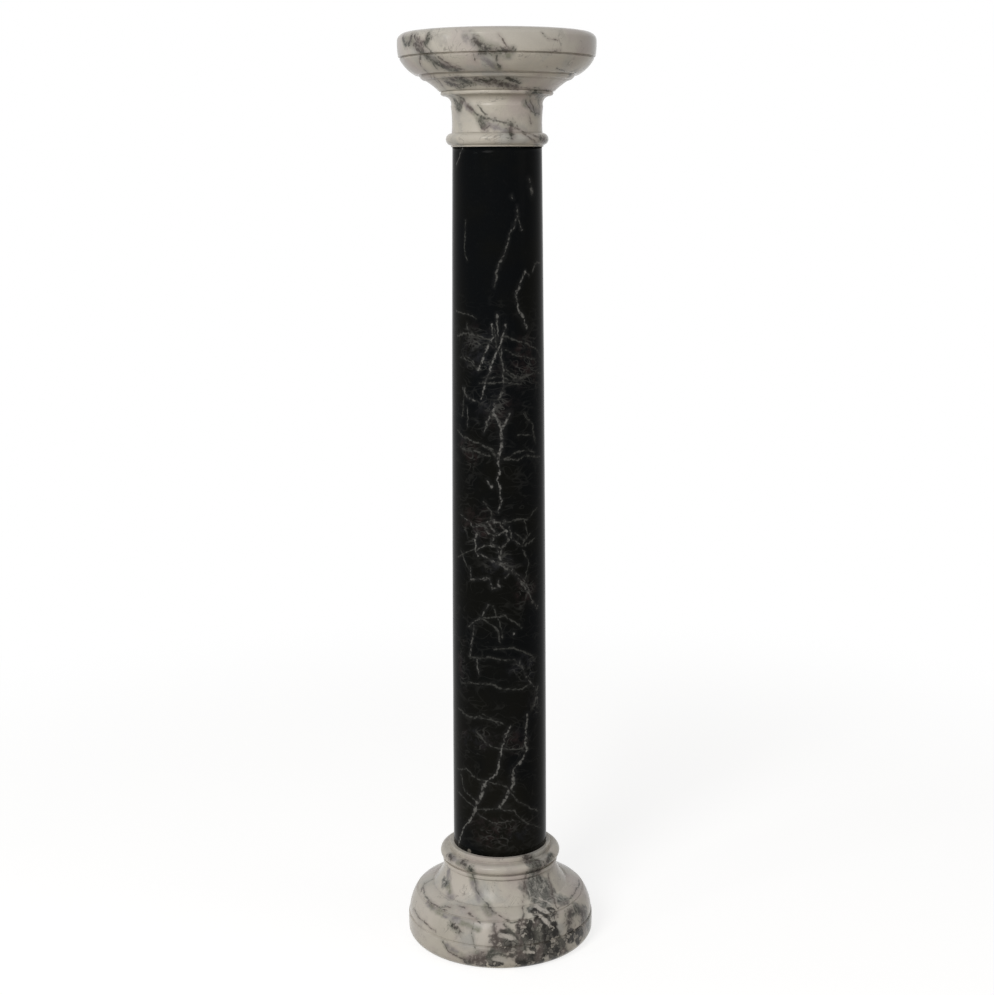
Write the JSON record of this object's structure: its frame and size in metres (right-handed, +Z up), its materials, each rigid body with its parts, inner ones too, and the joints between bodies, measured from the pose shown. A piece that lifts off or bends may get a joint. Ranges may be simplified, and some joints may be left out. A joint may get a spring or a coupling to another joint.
{
  "type": "doric pedestal column",
  "caption": "Round marble pedestal column: moulded white base, smooth black veined shaft with a slight swell, and a moulded white capital with a flat round top to carry a bust, urn or lamp.",
  "frame": {"origin": "centre of the round underside of the base, on the floor", "axes": "+Z up along the axis of the column; the column is turned, so +X and +Y differ only in the veins"},
  "size_m": [0.223, 0.223, 1.06],
  "materials": {
    "white_marble": "polished warm white marble with grey, purple and brown veins",
    "black_marble": "polished black marble with fine white and grey veins"
  },
  "bodies": {
    "root": {"base": "white_marble", "shaft": "black_marble", "capital": "white_marble"}
  },
  "joints": []
}
